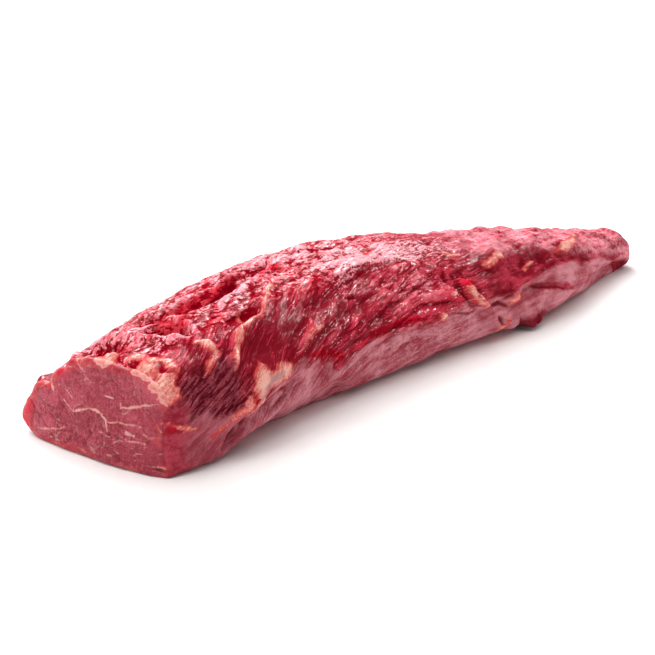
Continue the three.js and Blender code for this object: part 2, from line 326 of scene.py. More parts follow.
TAIL_SIDE = (
    (-3.4, 5, (2, 46), (3, 56), (8, 63)),
    (4, 6, (8, 51), (14, 58), (21, 64)),
    (-4, (38, 67), 9, 6),
    (3, (52, 62), 9, 5, -10),
    (-2.2, 6, (66, 59), (88, 56), (112, 53)),
    (-2.4, 6, (94, 43), (112, 46)),
    (1.6, 9, (40, 72), (90, 64), (140, 53)),
    (6, (78, 79), 17, 8, 10),
    (-2.4, 8, (8, 44), (60, 48), (92, 40)),
    (2, (135, 27), 20, 7, -18),
    (-2, 7, (118, 37), (146, 37), (170, 34)))
TAIL_TOP = (
    (-2.6, (-76, 4), 9, 7, 20),
    (-1.6, 6, (-66, 1), (-46, -4)),
    (-2.6, (8, 13), 11, 6, -25),
    (2.6, (82, -4), 10, 12),
    (2.8, (110, -5), 15, 14),
    (-2, (96, 2), 7, 12, 20),
    (-2.2, (140, -2), 14, 16, 10),
    (1.6, (166, 2), 12, 14),
    (-1.6, (186, 6), 9, 14, 20),
    (1.8, (48, 34), 14, 9, -12),
    (1.8, (80, 40), 12, 7, -15),
    (-1.8, (228, 2), 8, 18))
FAR_FORMS = (
    (-3, 13, (-240, -62), (-150, -52), (-40, -46), (90, -32)),
    (2, 16, (-230, -40), (-120, -32), (10, -28)),
    (-2.4, 10, (-200, -86), (-90, -80), (40, -62), (150, -42)),
    (2.5, (-130, -68), 60, 15, 4),
    (2, (30, -50), 50, 12, 8))


def raised(rows):
    """The sum of a table's forms: rows whose second entry is a place are ovals, others ridges."""
    return sum(oval(*row) if isinstance(row[1], tuple) else along(*row) for row in rows)


FORMS = sum(raised(rows) for rows in (HEAD_TOP, HEAD_SIDE, MIDDLE_SIDE, TAIL_SIDE, TAIL_TOP, FAR_FORMS))
print("large forms, mm: from", round(float(FORMS.min()), 1), "to", round(float(FORMS.max()), 1))


# %% [markdown]
# ## Where the fat, the membrane and the juice are
#
# Every zone is a field: a number at each point that is above 0 inside the zone and
# below 0 outside, as a distance in millimetres. The shader sharpens the edge later,
# so it stays crisp although a cell of the grid is a millimetre wide. Outlines are read
# on slightly crumpled coordinates, and that alone makes them look torn and not drawn.
# A closed outline is written (place, place, ...), and a stroke that narrows to
# nothing at both ends is written (half width, place, place, ...).

# %% Strips, tapering strokes and closed outlines
ROUGH_X = X + 1.5 * layered(X / 7, W / 6, 201, 4)
ROUGH_W = W + 1.2 * layered(X / 6, W / 5, 205, 4)


def patch(half_width, *path):
    """How deep a point is inside a strip of that half width, in mm."""
    return half_width - nearest_on(path, ROUGH_X, ROUGH_W)[0]


def stroke(half_width, *path):
    """A strip that narrows to nothing at both ends: width times root of 4 s (1 - s)."""
    distance, share = nearest_on(path, ROUGH_X, ROUGH_W)
    return half_width * 2 * np.sqrt(share * (1 - share)) - distance


def region(*corners):
    """How deep a point is inside a closed outline, by counting the sides it is left of."""
    path = [*corners, corners[0]]
    inside = np.zeros(X.shape, bool)
    for (ax, aw), (bx, bw) in zip(path[:-1], path[1:]):
        crosses = (aw > ROUGH_W) != (bw > ROUGH_W)
        inside ^= crosses & (ROUGH_X < ax + (bx - ax) * (ROUGH_W - aw) / (bw - aw + 1e-6))
    distance = nearest_on(path, ROUGH_X, ROUGH_W)[0]
    return np.where(inside, distance, -distance)


def union(*fields):
    """The zone that lies in any of the fields."""
    return np.maximum.reduce(fields)


# %% Outlines of the fat: the rim of the cut, the slanting band, the big patch and flecks
RIM_FAT = (
    ((-247, 4), (-241, 9), (-240, 15), (-247, 18)),
    ((-240, 21), (-235, 21), (-233, 27), (-236, 31), (-241, 30), (-243, 26)),
    ((-247, 33), (-240, 33), (-236, 36), (-240, 42), (-247, 43)),
    ((-238, 33), (-231, 34), (-228, 41), (-231, 47), (-234, 45), (-233, 38), (-237, 37)),
    ((-247, 45), (-241, 43), (-237, 46), (-234, 49), (-243, 54), (-247, 52)),
    ((-247, 53), (-242, 52), (-235, 55), (-238, 59), (-247, 60)))
HEAD_FAT = (
    ((-210, 39), (-206, 38), (-203, 42), (-201, 46), (-202, 51), (-206, 52), (-208, 47)),
    (1.6, (-205, 50), (-210, 53), (-219, 57)),
    ((-203, 64), (-198, 56), (-190, 49), (-183, 44), (-172, 42), (-161, 39), (-160, 42),
     (-171, 45.5), (-180, 47.5), (-188, 53.5), (-194, 59)),
    (1.5, (-166, 42), (-155, 38), (-147, 32), (-141, 27), (-131, 22), (-118, 19)),
    (1.6, (-172, 40), (-170, 35), (-168, 31)),
    (1.2, (-246, 69), (-238, 75), (-228, 79)))
BIG_PATCH = (
    ((-180, 64), (-177, 67), (-173, 69.5), (-167, 68.5), (-156, 69), (-151, 73), (-153, 77),
     (-158, 79), (-166, 80), (-177, 80.5), (-181, 83), (-182, 87), (-187, 89), (-194, 87),
     (-200, 84), (-207, 87), (-208, 84.5), (-203, 81), (-195, 80.5), (-191, 74), (-188, 69)),
    (1.0, (-197, 75), (-195, 79), (-199, 82)),
    (0.9, (-207, 86), (-214, 88), (-221, 89)))
SIDE_FAT = (
    (1.8, (-147, 67), (-142, 63), (-134, 60), (-121, 59)),
    ((-23, 67), (-16, 67), (-15, 73), (-21, 73)),
    ((43, 68), (48, 63.5), (56, 60), (61, 60), (58, 65), (51, 67.5)),
    (1.6, (23, 64), (30, 66)),
    (1.5, (33, 84), (40, 82), (48, 82), (49, 79), (42, 75)))
TAIL_FAT = (
    ((33, 40), (42, 35), (53, 31), (61, 31), (57, 36), (47, 40), (38, 41.5)),
    ((72, 46), (79, 41), (85, 41), (80, 44.5), (72, 48)),
    ((118, 34), (133, 27), (152, 20), (170, 11), (175, 12), (154, 26), (136, 34)),
    (2.0, (5, 27), (12, 29), (18, 30)),
    (1.4, (-52, 18), (-48, 22)))
FLAP_FAT = ((6, 54), (9.5, 54), (13, 58), (17, 61), (22, 64), (19, 66), (13, 65), (9, 61))


def zone(rows):
    """Where any of a table's rows applies: rows that start with a place are closed outlines."""
    return union(*(region(*row) if isinstance(row[0], tuple) else stroke(*row) for row in rows))


def fat_field():
    """Fat, a little wider at the rim and on the tail, with blood in two of its hollows."""
    rim = union(zone(RIM_FAT), patch(1.4, (-243, -8), (-244, -2))) + 0.9
    side = union(zone(SIDE_FAT), patch(1.6, (-9, 57), (-6, 57)), region(*FLAP_FAT) + 0.2)
    bloody = union(stroke(1.6, (-191, 76), (-188, 82), (-191, 86)),
                   stroke(2.0, (8, 55), (13, 60), (20, 65)) - 2.2)
    fat = union(rim, zone(HEAD_FAT), zone(BIG_PATCH), side, 0.4 + 1.4 * zone(TAIL_FAT))
    return np.minimum(fat, -bloody)


# %% Vivid hollows and tears, and narrow slits painted almost black with shade
RED_TEARS = (
    ((-243, -10), (-234, -8), (-232, 2), (-236, 6), (-242, 2)),
    ((-214, 10), (-206, 5), (-199, 8), (-199, 16), (-202, 27), (-210, 27), (-216, 20)),
    (5.0, (-212, -6), (-200, -2), (-188, 5), (-168, 6), (-150, 4), (-136, -3)),
    ((-203, 16), (-192, 15), (-190, 21), (-200, 23)),
    (2.6, (-189, 27), (-183, 26), (-176, 29)),
    ((-175, 32), (-160, 31), (-157, 37), (-162, 40), (-172, 38)),
    (2.4, (-154, 26), (-151, 25), (-146, 22)),
    (4.5, (-122, 8), (-117, 8), (-112, 12)),
    (1.6, (-104, 13), (-99, 14), (-94, 12)),
    ((-80, 4), (-74, 2), (-69, 4), (-72, 9), (-78, 8)),
    (2.6, (-70, 2), (-58, -1), (-48, -6)),
    (3.4, (-56, 22), (-46, 17), (-38, 16)),
    (3.0, (2, 16), (8, 13), (16, 9)),
    ((4, 47), (9, 48), (10.5, 54), (6, 56)),
    (3.4, (-240, 42), (-236, 42), (-232, 42)),
    (3.4, (-96, 78), (-82, 74), (-60, 71), (-30, 70)),
    (3.0, (-140, 72), (-120, 74), (-104, 82)),
    ((-245, 70), (-241, 70), (-240, 76), (-245, 77)),
    (2.5, (-193, 80), (-189, 83), (-192, 86)))
DARK_SLITS = (
    (3.0, (-217, 20), (-213, 23), (-207, 24), (-200, 22)),
    (2.4, (-198, 8), (-185, 10), (-173, 9.5), (-160, 7), (-146, 3), (-132, -4)),
    (1.3, (-184, 25), (-178, 29)),
    (1.6, (-180, 43), (-173, 41), (-163, 40)),
    (1.3, (-153, 82), (-158, 85), (-166, 85), (-173, 87), (-181, 91)),
    (1.1, (-156, 88), (-162, 90), (-169, 92), (-174, 93)),
    (1.0, (-195, 87), (-200, 90), (-204, 93)),
    (1.2, (-190, 89), (-194, 91), (-199, 93)),
    (2.4, (-201, 92), (-207, 95), (-212, 101)),
    (1.4, (-94, 48), (-88, 49), (-83, 49)),
    (1.0, (-82, 38), (-74, 36), (-66, 33)),
    (0.4, (-52, 47), (-42, 52), (-30, 51), (-18, 50), (-6, 47)),
    (0.6, (-40, 62), (-22, 62), (-4, 61)),
    (1.0, (3, 47), (3.5, 54), (6, 60), (10, 65)),
    (1.7, (31, 68), (38, 66.5), (45, 69)),
    (1.2, (42, 64), (46, 62.5), (49, 61)),
    (1.6, (36, 74), (39, 77), (42, 81)),
    (1.0, (74, 59), (99, 61), (122, 63)),
    (1.2, (2, 26), (4, 29)),
    (1.2, (61, 78), (63, 82), (66, 87)),
    (0.9, (-10, 69), (4, 70), (16, 68)),
    (0.8, (-60, 85), (-54, 84), (-48, 83)))
KNOB_TEARS = union(oval(8, (95, 84), 7, 6), oval(4.8, (80, 84), 20, 10)) - 2

FAT, RED, SLIT = fat_field(), union(zone(RED_TEARS), KNOB_TEARS), zone(DARK_SLITS)
print("fat covers", round(100 * float((FAT > 0).mean()), 1), "% of the grid points")

# %% [markdown]
# ## Putting the small relief on
#
# The fine relief follows what the surface is. The top is a crumpled film, the near
# side is wet strands with valleys between them, fat is lumpy and stands proud, and
# the membrane is smooth with soft folds. Each has its own noise, mixed by the zone's
# weight, and all of it moves the points along the skin's own outward direction.
# In smooth_step the two numbers say where a zone begins and where it is full, and in
# the relief the first number of a product is its height in millimetres.

# %% Weights of the zones
ragged = 6.5 * layered(ALONG / 24, ACROSS / 4.5, 21) + 2.5 * layered(ALONG / 7, ACROSS / 2.2, 24)
GIRTH = np.ptp(W, axis=1)[:, None]
FAR_SHARE = -W / GIRTH
FAR_SIDE = smooth_step(FAR_SHARE, 0.1, 0.19)
UNDER = smooth_step(np.abs(W) / GIRTH, 0.40, 0.46)
KNOB = smooth_step(9 * (1 - np.hypot((ROUGH_X - 80) / 19, (ROUGH_W - 84) / 9)), -1, 1.5)

MEMBRANE = smooth_step(W - MEMBRANE_EDGE(X) + ragged, -2, 3)
MEMBRANE = MEMBRANE * (1 - 0.8 * smooth_step(stroke(2.6, (72, 58), (99, 60), (128, 61)), -1.5, 1))
MEMBRANE = MEMBRANE * (1 - 0.9 * KNOB)
MEMBRANE = np.maximum(MEMBRANE, smooth_step(FAR_SHARE + 0.006 * ragged, 0.27, 0.3))
FAT_EDGE = FAT + 1.6 * layered(X / 4, W / 3, 41, 4)
FATTY = smooth_step(FAT_EDGE, -0.8, 1.6)

top_edge = 35 + 7 * hump((X + 92) / 40) + 7 * layered(X / 22, W / 14, 31)
TOP = smooth_step(top_edge - W, -9, 9) * (1 - 0.75 * smooth_step(FAR_SHARE, 0.15, 0.23))
TAIL = smooth_step(X + 10 * noise(X / 25, W / 25, 37), 0, 50)
COMBED = smooth_step(-X + 8 * noise(X / 20, W / 20, 35), 138, 168) * smooth_step(W, 40, 52)
print("membrane covers", round(100 * float((MEMBRANE > 0.5).mean()), 1), "% of the grid points")


# %% Bundles, wrinkles and crumpled film, mixed by zone
def strands(long, wide, seed, layers=2):
    """Rounded bundles parted by narrow valleys: the root of the size of smooth noise."""
    return np.sqrt(np.abs(layered(ALONG / long, ACROSS / wide, seed, layers)))


BUNDLES = strands(16, 5.0, 55, 3)
WRINKLES = strands(7, 2.6, 51, 2)
CRUMPLE = strands(5.5, 2.3, 71, 3)
CRUMBS = layered(X / 2.6, W / 2.0, 77, 2)
CORDS = strands(30, 8.0, 57, 3)
MIDDLE = smooth_step(X, -150, -110) * smooth_step(-X, -30, 10) * (1 - MEMBRANE) * smooth_step(W, 22, 36)


def small_relief():
    """Wrinkles, strings and lumps in mm, each weighted by its zone."""
    lumps = layered(X / 16, W / 12, 61, 3)
    bare = (1 - MEMBRANE) * (1 - FATTY)
    film = 1.1 * (CRUMPLE - 0.5) + 0.3 * CRUMBS + 0.9 * lumps
    wet = 1.8 * (BUNDLES - 0.5) + 0.8 * (WRINKLES - 0.5) + 0.15 * CRUMBS
    comb = 0.5 * (BUNDLES - 0.5) + 0.5 * (WRINKLES - 0.5)
    soft = 0.7 * (BUNDLES - 0.5) + 0.3 * (WRINKLES - 0.5) + 2.4 * layered(X / 13, W / 10, 63, 2)
    side = wet + (comb - wet) * COMBED
    side = side + (soft - side) * TAIL + 2.6 * MIDDLE * (CORDS - 0.5)
    relief = bare * (TOP * (film + (soft - film) * TAIL) + (1 - TOP) * side)
    relief += 3.0 * layered(X / 15, W / 15, 65, 3) * hump((W + 24) / 26) * smooth_step(-X, 60, 130)
    folds = 0.9 * layered(ALONG / 26, ACROSS / 9, 75) + 0.3 * (strands(18, 5, 79) - 0.5)
    relief += MEMBRANE * (1 - FATTY) * folds
    fat_lumps = 0.7 + 0.9 * layered(X / 3.6, W / 3, 81, 2) + 1.4 * (strands(9, 4.5, 83) - 0.5)
    relief += 0.9 * lumps + FATTY * fat_lumps
    relief -= 1.2 * smooth_step(SLIT, -1.0, 1.4) + 0.7 * smooth_step(RED, -1, 3)
    return relief


# %% Lips, lumps and folds too small for the solid
FINE_FORMS = (
    # round the torn pocket, and the membrane's hem from the cut to the middle
    (1.6, 5, (-229, -10), (-224, 0), (-219, 12), (-212, 28)),
    (1.6, 4, (-198, 9), (-196, 20), (-200, 30)),
    (-3.5, 7, (-210, 14), (-206, 22)),
    (1.2, 5, (-218, 29), (-210, 32), (-203, 32)),
    (1.2, 4, (-247, 69), (-236, 77), (-222, 82), (-205, 84), (-196, 83)),
    (1.5, 4, (-147, 66), (-138, 61), (-128, 57), (-111, 55)),
    (1.4, 4, (-110, 64), (-104, 63), (-98, 62)),
    (1.5, 4.5, (-92, 67), (-80, 69), (-62, 65), (-50, 61)),
    (1.6, 4, (-60, 40), (-46, 37), (-24, 35)),
    (1.4, 3.5, (-40, 66), (-20, 66), (0, 66), (12, 69)),
    (1.6, 3.5, (-24, 60), (-14, 58), (-5, 57)),
    (1.5, (-10, 50), 7, 4, 30),
    (1.8, (-19, 70), 7, 5),
    # the tail's upper strand, the curl of fat and the lumps of the knob
    (1.6, 4, (48, 61), (60, 56), (72, 52), (84, 48)),
    (1.8, 4, (31, 84), (40, 82), (50, 82), (49, 78), (42, 74)),
    (4.2, (74, 82), 15, 7),
    (2.8, (55, 84), 11, 6),
    (1.8, (70, 82), 5, 5),
    (1.8, (84, 86), 6, 5),
    (-1.6, 2.5, (76, 77), (78, 90)),
    (-2.5, (222, 38), 16, 9),
    (-2.0, (93, 75), 8, 5),
    (1.6, (92, 85), 6, 5),
    # lumps on the cut's rim and beside the fat band
    (1.6, (-236, 44), 9, 8),
    (1.4, (-241, 12), 7, 6),
    (1.4, (-239, 26), 6, 6),
    (1.6, (-205, 45), 6, 8, 60),
    (1.6, 5, (-200, 60), (-186, 49), (-165, 42)),
    (-4, 4, (-250, -37), (-240, -35), (-232, -36)),
    (1.4, (-243, -27), 8, 6),
    (3.0, (-243, -46), 8, 6),
    (2.6, (-242, -14), 8, 6),
    (-3.0, (-243, -20), 8, 3),
    (2.6, (-243, -60), 9, 8),
    # strands over the furrow, and the loose flap
    (2.8, 6, (-60, 45), (-40, 50), (-10, 47)),
    (2.8, 5, (2, 48), (4, 56), (8, 62)),
    (2.6, 3.4, (7, 52), (11, 59), (16, 63.5), (21, 66)),
    (-3, 5, (16, 53), (21, 59)),
    (2.2, 6, (92, 43), (112, 46)),
    (2.0, 5, (70, 55), (88, 54), (112, 51)),
    (-1.2, 3, (76, 59), (99, 60), (122, 62)),
    (2.2, (38, 67), 8, 5),
    # hollows along the foot, and hollows and lumps of the far top edge
    (-2.8, 20, (-235, -28), (-140, -25), (-75, -22)),
    (-6, 14, (-197, 112), (-188, 110), (-165, 108)),
    (-5, 13, (-160, 108), (-138, 106), (-110, 102)),
    (-2.8, 14, (-86, -20), (-60, -18)),
    (-3.4, (-110, -24), 24, 18),
    (2.8, (-83, -6), 9, 10),
    (-3.8, (-28, -16), 20, 18),
    (1.4, (56, 1), 9, 10),
    (-3.0, (-236, -29), 7, 12),
    (-5.5, 10, (172, 52), (200, 45), (235, 36)))


# %% The relief put on the skin
def outward(points):
    """The skin's outward direction: the run round the girth crossed with the length."""
    lengthwise = np.gradient(points, axis=0)
    around = np.roll(points, -1, axis=1) - np.roll(points, 1, axis=1)
    normal = np.cross(around, lengthwise)
    return normal / np.maximum(np.linalg.norm(normal, axis=-1, keepdims=True), 1e-9)


CORNER_TOP, CORNER_FOOT = (54, 72), (-102, -86)


def near_corner(x, w):
    """The cut's near corner is soft: the skin curls in there along a quarter of an oval."""
    curl = np.clip(1 - (x - CUT_X) / CORNER_LENGTH, 0, 1)
    weight = smooth_step(w, *CORNER_TOP) * smooth_step(-w, *CORNER_FOOT)
    return -CORNER_DEPTH * weight * (1 - np.sqrt(1 - curl**2))


tip_fade = np.clip((TAIL_X - X) / TAIL_CAP, 0, 1)
rim_fade = smooth_step(X, CUT_X - 1, CUT_X + 4)
FINE = (small_relief() + raised(FINE_FORMS)) * (0.45 + 0.55 * rim_fade) * (1 - 0.8 * UNDER)
RELIEF = tip_fade * (FORMS + FINE) + near_corner(X, W)
skin = skin + outward(skin) * RELIEF[..., None]
skin[..., 2] = np.maximum(skin[..., 2], 0)
print("relief, mm: from", round(float(RELIEF.min()), 1), "to", round(float(RELIEF.max()), 1))


def smoothed(values, times):
    """Each point averaged with its eight neighbours, again and again."""
    for _ in range(times):
        values = (values + np.roll(values, 1, 1) + np.roll(values, -1, 1)) / 3
        padded = np.concatenate([values[:1], values, values[-1:]])
        values = (padded[:-2] + padded[1:-1] + padded[2:]) / 3
    return values


# How far each point lies below or above its neighbours. The shader uses it as painted shade and light:
# creases darker, ridges lighter.
CREASE = RELIEF - smoothed(RELIEF, 5)


# %% From grids to meshes
def placed(points):
    """Millimetres in the lesson's own frame to metres in the solid's frame."""
    moved = points.reshape(-1, 3) + np.array([0, SIDE_SHIFT, 0])
    return moved * MM


def ring_faces(rows, columns, start=0):
    """Quads between rows of a grid that closes on itself sideways, facing outwards."""
    i, j = np.meshgrid(np.arange(rows - 1), np.arange(columns), indexing="ij")
    after = (j + 1) % columns
    this, next_row = i * columns, (i + 1) * columns
    quads = np.stack([this + j, this + after, next_row + after, next_row + j], axis=-1)
    return quads.reshape(-1, 4) + start


def fan_faces(first, columns, middle, flip=False):
    """Triangles from one ring of points to a single middle point."""
    j = np.arange(columns)
    after = (j + 1) % columns
    order = [first + j, first + after] if flip else [first + after, first + j]
    return np.stack([*order, np.full(columns, middle)], axis=-1)


def added(name, data):
    """A new object in the scene."""
    thing = bpy.data.objects.new(name, data)
    bpy.context.scene.collection.objects.link(thing)
    return thing


def make_piece(name, points, faces, material, fields):
    """A mesh from points in mm and lists of faces, with a number or a vector per point for each field."""
    mesh = bpy.data.meshes.new(name)
    rows = [face.tolist() for group in faces for face in group]
    mesh.from_pydata(placed(points).tolist(), [], rows)
    for field, values in fields.items():
        kind = "FLOAT" if np.ndim(values) == 1 else "FLOAT_VECTOR"
        layer = mesh.attributes.new(field, kind, "POINT")
        key = "value" if kind == "FLOAT" else "vector"
        layer.data.foreach_set(key, np.asarray(values, np.float32).ravel())
    mesh.polygons.foreach_set("use_smooth", np.ones(len(mesh.polygons), bool))
    mesh.materials.append(material)
    mesh.validate()
    mesh.update()
    piece = added(name, mesh)
    mesh.calc_loop_triangles()
    print(name, "has", len(mesh.loop_triangles), "triangles")
    return piece


# %% [markdown]
# ## What the surface is made of
#
# Raw meat is a slightly see-through red under a clear film of juice. The red itself
# hardly shines, so its own shine is off and the juice is a coat that shines like
# water. One material does the whole skin: it reads the fields, sharpens their edges
# with fine noise and mixes deep muscle, pale film, membrane and fat. Fine fibres come
# from noise on the grain coordinates, so they bend with the muscle.
#
# A shader is a net of small nodes. Amount lets a net be written as plain sums.

# %% A small kit for wiring shader nodes
class Amount:
    """A number, vector or colour that a node works out at each point of the surface."""

    def __init__(self, wiring, socket):
        self.wiring, self.socket = wiring, socket

    def __add__(self, other):
        return self.wiring.maths("ADD", self, other)

    def __sub__(self, other):
        return self.wiring.maths("SUBTRACT", self, other)

    def __rsub__(self, other):
        return self.wiring.maths("SUBTRACT", other, self)

    def __mul__(self, other):
        return self.wiring.maths("MULTIPLY", self, other)

    __radd__, __rmul__ = __add__, __mul__


class Wiring:
    """Adds nodes to one material and joins them, so a recipe reads from top to bottom."""

    def __init__(self, name):
        self.material = bpy.data.materials.new(name)
        self.material.use_nodes = True
        self.tree = self.material.node_tree

    def put(self, socket, value):
        """Joins an amount to a socket, or sets the socket to a constant."""
        if isinstance(value, Amount):
            self.tree.links.new(value.socket, socket)
        else:
            socket.default_value = value

    def node(self, kind, output, inputs, **settings):
        """One new node with its settings and inputs, as the amount it gives out."""
        node = self.tree.nodes.new("ShaderNode" + kind)
        for setting, value in settings.items():
            setattr(node, setting, value)
        for socket, value in inputs.items():
            self.put(node.inputs[socket], value)
        return Amount(self, node.outputs[output])

    def shade(self, settings):
        """Sets the shader's own sockets by name and gives back the finished material."""
        for name, value in settings.items():
            self.put(self.tree.nodes["Principled BSDF"].inputs[name], value)
        return self.material

    def field(self, name, output="Fac"):
        """A number, or a vector, that the mesh carries at each point."""
        return self.node("Attribute", output, {}, attribute_name=name)

    def place(self):
        """The point's own place on the object, in metres."""
        return self.node("TexCoord", "Object", {})

    def maths(self, operation, a, b=0.0):
        """One arithmetic step."""
        return self.node("Math", 0, {0: a, 1: b}, operation=operation)

    def ramp(self, value, start, end, low=0.0, high=1.0):
        """The value between start and end becomes low to high, smoothly."""
        inputs = {"Value": value, "From Min": start, "From Max": end, "To Min": low, "To Max": high}
        return self.node("MapRange", "Result", inputs, interpolation_type="SMOOTHSTEP")

    def grain(self, vector, scale, detail=3.0, rough=0.55):
        """Noise from 0 to 1 on a vector, with that many cells a metre along each axis."""
        stretched = self.node("VectorMath", 0, {0: vector, 1: scale}, operation="MULTIPLY")
        inputs = {"Vector": stretched, "Scale": 1.0, "Detail": detail, "Roughness": rough}
        return self.node("TexNoise", "Fac", inputs)

    def rounded(self, value, width):
        """Rounded bundles parted by narrow valleys, which lie where smooth noise is a half."""
        return self.ramp(self.maths("ABSOLUTE", value - 0.5), 0.0, width)

    def blend(self, share, a, b):
        """Colour a turning into colour b."""
        return self.node("Mix", "Result", {"Factor": share, "A": a, "B": b}, data_type="RGBA")

    def bump(self, height, distance):
        """Fine relief: height from 0 to 1 stands for that distance in metres."""
        return self.node("Bump", "Normal", {"Strength": 1.0, "Distance": distance, "Height": height})


def colour(red, green, blue):
    """A colour as a screen shows it, from 0 to 255, turned into linear light."""
    share = np.array([red, green, blue]) / 255
    linear = np.where(share <= 0.04045, share / 12.92, ((share + 0.055) / 1.055) ** 2.4)
    return (*linear.tolist(), 1.0)


DEEP_MUSCLE = colour(131, 17, 32)
FRESH_MUSCLE = colour(202, 52, 74)
TOP_DEEP = colour(134, 0, 20)
TOP_FRESH = colour(208, 20, 50)
# Painted shade: darker, duller copies of the muscle's colours.
SHADED_DEEP = colour(86, 10, 24)
SHADED_PALE = colour(150, 62, 73)
VIVID_RED = colour(212, 10, 42)
VIVID_DEEP = colour(136, 0, 20)
# Painted shade: the near-black red of narrow slits and cracks.
SLIT_SHADE = colour(112, 2, 18)
FILM_PINK = colour(248, 170, 180)
FILM_ROSE = colour(226, 110, 128)
# Painted glints: near-white dashes and dots.
GLINT_PAINT_PINK = colour(252, 222, 225)
MEMBRANE_MAUVE = colour(150, 56, 68)
MEMBRANE_PALE = colour(212, 138, 147)
FAT_CREAM = colour(236, 174, 160)
FAT_PINK = colour(216, 124, 114)
FAT_ORANGE = colour(198, 66, 66)
FAT_GREY = colour(168, 112, 116)
# Partly painted shade: the cut's rose, darker where the near corner turns away from the light.
SHADED_CUT_ROSE = colour(176, 68, 82)
SHADED_CUT_DEEP = colour(136, 34, 50)


# %% The noises that the layers of the skin share
def fibrous_or_crumpled(w, g, threads, crumples):
    """Noise along the fibres where the skin is torn, and crumpled film elsewhere."""
    fibres = w.rounded(w.grain(g.fibres, *threads[:3]), threads[3])
    film = w.rounded(w.grain(g.place, *crumples[:3]), crumples[3])
    return fibres * w.field("fibrous") + film * w.field("crumpled")


def skin_grain(w):
    """Fibres, threads, specks, clouds and dust, and the tone that they add up to."""
    g = SimpleNamespace(fibres=w.field("grain", "Vector"), place=w.place(), soft=w.field("soft"))
    g.fine = w.grain(g.fibres, (140, 620, 0), 4.0, 0.6)
    g.strings = w.grain(g.fibres, (45, 260, 0))
    g.clouds = w.grain(g.place, (55, 55, 55))
    g.specks = w.grain(g.place, (420, 420, 420), 3.0, 0.65)
    g.threads = fibrous_or_crumpled(w, g, ((140, 520, 4), 2.5, 0.6, 0.14), ((120, 260, 260), 3.0, 0.6, 0.12))
    g.bundles = fibrous_or_crumpled(w, g, ((50, 230, 1), 2.0, 0.5, 0.13), ((60, 150, 150), 2.5, 0.55, 0.1))
    g.crease = w.field("crease")
    g.dust = (w.grain(g.place, (800, 950, 950), 2.0, 0.65) - 0.5) * w.ramp(g.soft, 0.0, 0.6, 1.2, 0.4)
    # The tone is the meat's own streaky grain, and also painted shade: it is darkest in the valleys between
    # bundles and threads and in the creases.
    sharp = 0.5 * g.bundles + 0.38 * g.threads + 0.32 * g.fine + 0.36 * g.crease
    blurred = w.ramp(g.clouds, 0.35, 0.65, 0.1, 0.85)
    g.tone = sharp * (1 - g.soft) + g.soft * blurred + w.field("lift") + g.dust
    g.vivid = w.blend(w.ramp(g.tone, 0.3, 1.1), VIVID_DEEP, VIVID_RED)
    g.blush = w.ramp(w.grain(g.fibres, (36, 130, 0), 3.0, 0.6), 0.47, 0.55) * w.field("blush")
    return g


# %% The layers of the skin, from the muscle up
def muscle_layer(w, g):
    """Deep to fresh muscle by the tone, more vivid on the top, and darker and duller under painted shade."""
    crumpled, painted_shade = w.field("crumpled"), w.field("painted_shade")
    deep = w.blend(painted_shade, w.blend(crumpled, DEEP_MUSCLE, TOP_DEEP), SHADED_DEEP)
    fresh = w.blend(painted_shade, w.blend(crumpled, FRESH_MUSCLE, TOP_FRESH), SHADED_PALE)
    return w.blend(w.ramp(g.tone, 0.25, 0.95), deep, fresh)


def film_layer(w, g, base):
    """Pale film in flecks, with red blush between them, and painted glints: bright dashes and dots."""
    film, painted_sheen = w.field("film"), w.field("painted_sheen")
    flecks = 0.5 * g.specks + g.tone + 0.6 * film + 0.22 * painted_sheen
    share = w.ramp(film, 0.0, 0.5) * w.ramp(flecks, 1.18, 1.6, 0.0, 0.85) * (1 - 0.75 * g.blush)
    pale = w.blend(w.ramp(g.specks + g.strings + 0.25 * painted_sheen, 0.76, 1.1), FILM_ROSE, FILM_PINK)
    base = w.blend(share, w.blend(0.8 * g.blush, base, g.vivid), pale)
    mottled = w.ramp(g.clouds + 0.5 * (g.specks + g.strings), 0.7, 1.12)
    base = w.blend(mottled * g.soft * w.ramp(film, 0.0, 0.6), base, pale)
    dashes = w.ramp(g.threads + g.fine, 1.3, 1.5) * w.ramp(g.specks, 0.5, 0.62) * w.field("dash")
    glint_dots = w.ramp(g.specks, 0.56, 0.66, 0.0, 0.5) * painted_sheen
    return w.blend(w.maths("MAXIMUM", dashes, glint_dots), base, GLINT_PAINT_PINK)


def membrane_layer(w, g, base):
    """A lilac sheet, thin in places, that is duller under painted shade."""
    clouded = g.strings + 1.2 * g.clouds
    hairs = (g.fine + g.threads - 1.0) * w.ramp(g.soft, 0.0, 0.6, 0.25, 0.1)
    sheet = w.blend(w.ramp(clouded + hairs + 0.5 * g.dust, 0.68, 1.5), MEMBRANE_MAUVE, MEMBRANE_PALE)
    sheet = w.blend(0.6 * w.field("painted_shade"), sheet, SHADED_PALE)
    return w.blend(w.field("membrane") * w.ramp(clouded, 0.85, 1.2, 0.8, 1.0), base, sheet)


def shaded_cut_colour(w, place):
    """The rose of the cut where it curls round the near corner, on the skin and the face: the cut's own
    colour, in a darker copy that is painted shade.
    """
    clouds, specks = w.grain(place, (55, 55, 55)), w.grain(place, (420, 420, 420), 3.0, 0.65)
    return w.blend(w.ramp(clouds + specks, 0.8, 1.2), SHADED_CUT_DEEP, SHADED_CUT_ROSE)


def fat_colour(w, depth):
    """Orange where the fat is thin, salmon further in and cream where it is thick."""
    thin = w.blend(w.ramp(depth, -1.0, 1.4), FAT_ORANGE, FAT_PINK)
    return w.blend(w.ramp(depth, 1.4, 4.0), thin, FAT_CREAM)


